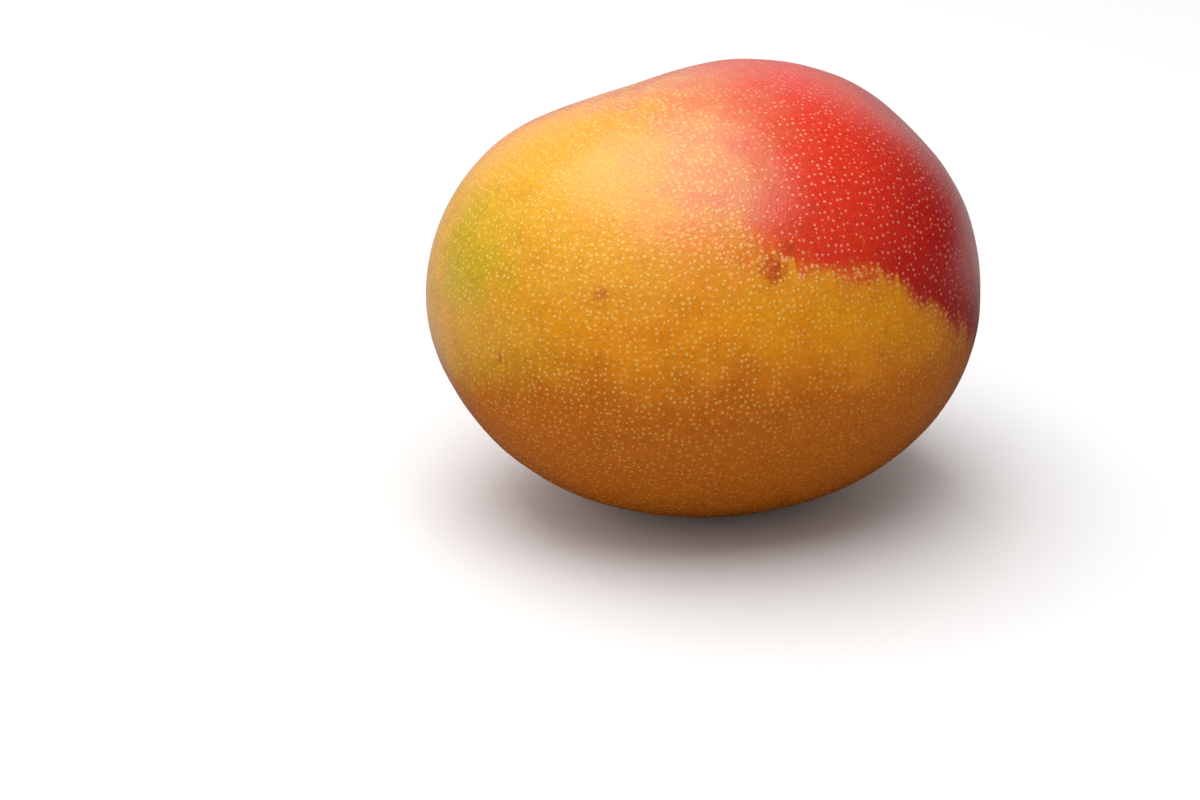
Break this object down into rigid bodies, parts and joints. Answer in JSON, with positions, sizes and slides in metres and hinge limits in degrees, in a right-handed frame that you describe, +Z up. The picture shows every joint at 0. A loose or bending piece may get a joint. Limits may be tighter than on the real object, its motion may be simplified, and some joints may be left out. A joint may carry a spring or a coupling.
{
  "type": "mango",
  "caption": "Whole ripe mango lying on its cheek, with a shallow stem hollow and a short woody stem stub.",
  "frame": {"origin": "on the surface that the fruit rests on, under the middle of its bounding box", "axes": "+X along the fruit's length towards the stem end, +Y towards the flatter belly side with the beak, +Z up through the two cheeks"},
  "size_m": [0.1162, 0.1034, 0.0926],
  "materials": {
    "mango_skin": "satin",
    "stem_wood": "matte"
  },
  "bodies": {
    "root": {"mango_fruit": "mango_skin", "stem_stub": "stem_wood"}
  },
  "joints": []
}
